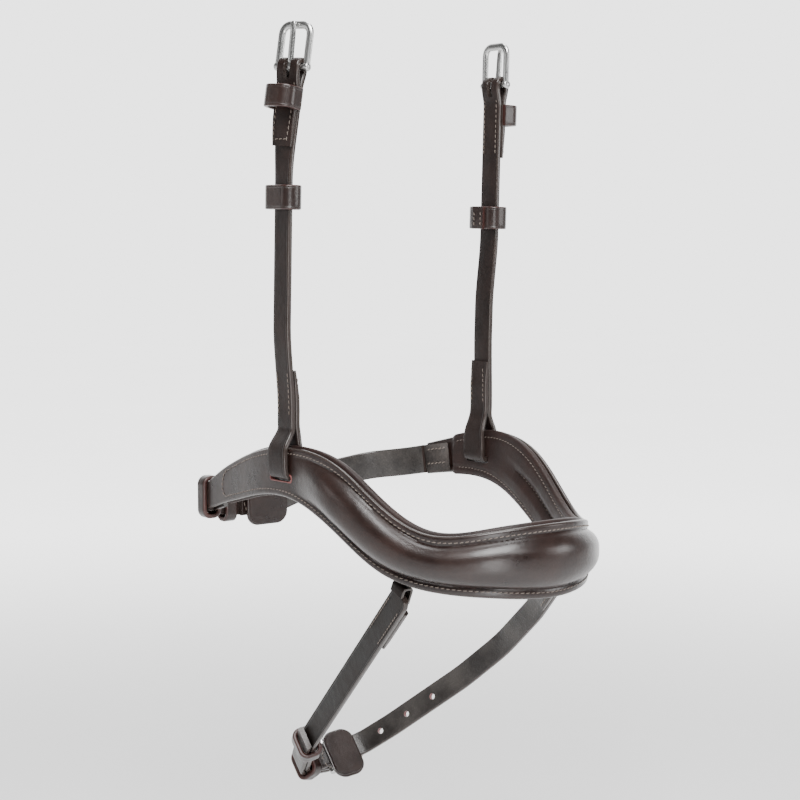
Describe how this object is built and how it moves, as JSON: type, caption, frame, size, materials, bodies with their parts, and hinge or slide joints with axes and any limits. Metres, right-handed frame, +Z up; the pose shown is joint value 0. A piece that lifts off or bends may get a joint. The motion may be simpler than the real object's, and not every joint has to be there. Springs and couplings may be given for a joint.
{
  "type": "bridle noseband",
  "caption": "Padded anatomic leather bridle noseband with buckled cheek straps, a jaw strap and a buckled chin strap.",
  "frame": {"origin": "the middle of the nose opening, midway between the two cheek strap slots and level with them", "axes": "+X to the horse's left, -Y forward to the front of the nose, +Z up along the cheek straps"},
  "size_m": [0.1603, 0.2306, 0.4098],
  "materials": {
    "outer_leather": "waxed dark brown bridle leather, semi-gloss",
    "lining_leather": "soft dark brown lining leather, satin",
    "flesh_leather": "unfinished grey-brown flesh side, matt",
    "padding": "closed felt padding, hidden",
    "steel": "polished stainless steel"
  },
  "bodies": {
    "nosepiece": {"nosepiece_shell": "outer_leather", "nosepiece_filler": "padding", "nosepiece_lining": "lining_leather", "cheek_loop_right": "outer_leather", "cheek_loop_left": "outer_leather", "jaw_strap": "outer_leather", "jaw_tab": "outer_leather", "jaw_fold": "outer_leather", "jaw_buckle": "steel", "jaw_tongue": "steel", "jaw_guard": "outer_leather", "jaw_keeper_1": "outer_leather", "jaw_keeper_2": "outer_leather", "jaw_patch": "flesh_leather", "chin_loop_right": "outer_leather", "chin_loop_left": "outer_leather"},
    "cheek_right": {"cheek_strap_right": "outer_leather", "cheek_fold_right": "outer_leather", "cheek_fixed_keeper_right": "outer_leather"},
    "keeper_right": {"cheek_sliding_keeper_right": "outer_leather"},
    "buckle_right": {"cheek_buckle_right": "steel"},
    "tongue_right": {"cheek_tongue_right": "steel"},
    "cheek_left": {"cheek_strap_left": "outer_leather", "cheek_fold_left": "outer_leather", "cheek_fixed_keeper_left": "outer_leather"},
    "keeper_left": {"cheek_sliding_keeper_left": "outer_leather"},
    "buckle_left": {"cheek_buckle_left": "steel"},
    "tongue_left": {"cheek_tongue_left": "steel"},
    "chin": {"chin_short_strap": "outer_leather", "chin_long_strap": "outer_leather", "chin_fold": "outer_leather", "chin_buckle": "steel", "chin_tongue": "steel", "chin_guard": "outer_leather", "chin_keeper_1": "outer_leather", "chin_keeper_2": "outer_leather"}
  },
  "joints": [
    {"name": "cheek_right_bend", "type": "hinge", "parent": "nosepiece", "child": "cheek_right", "pos_m": [-0.066, 0, 0.0224], "axis": [0, -0.9995, -0.0332], "range_deg": [-12, 80]},
    {"name": "buckle_right_turn", "type": "hinge", "parent": "cheek_right", "child": "buckle_right", "pos_m": [-0.06362, -0.00643, 0.20172], "axis": [0.3349, -0.9392, -0.0755], "range_deg": [-85, 45]},
    {"name": "tongue_right_turn", "type": "hinge", "parent": "buckle_right", "child": "tongue_right", "pos_m": [-0.06362, -0.00643, 0.20172], "axis": [0.3349, -0.9392, -0.0755], "range_deg": [0, 55]},
    {"name": "keeper_right_slide", "type": "slide", "parent": "cheek_right", "child": "keeper_right", "axis": [0, -0.0332, 0.9995], "range_m": [-0.075, 0.017]},
    {"name": "cheek_left_bend", "type": "hinge", "parent": "nosepiece", "child": "cheek_left", "pos_m": [0.066, 0, 0.0224], "axis": [0, 0.9995, 0.0332], "range_deg": [-12, 80]},
    {"name": "buckle_left_turn", "type": "hinge", "parent": "cheek_left", "child": "buckle_left", "pos_m": [0.0688, -0.00596, 0.2019], "axis": [0, 0.9995, 0.0332], "range_deg": [-85, 45]},
    {"name": "tongue_left_turn", "type": "hinge", "parent": "buckle_left", "child": "tongue_left", "pos_m": [0.0688, -0.00596, 0.2019], "axis": [0, 0.9995, 0.0332], "range_deg": [0, 55]},
    {"name": "keeper_left_slide", "type": "slide", "parent": "cheek_left", "child": "keeper_left", "axis": [0, -0.0332, 0.9995], "range_m": [-0.068, 0.024]},
    {"name": "chin_swing", "type": "hinge", "parent": "nosepiece", "child": "chin", "pos_m": [0, -0.07434, -0.0547], "axis": [1, 0, 0], "range_deg": [-35, 20]}
  ]
}
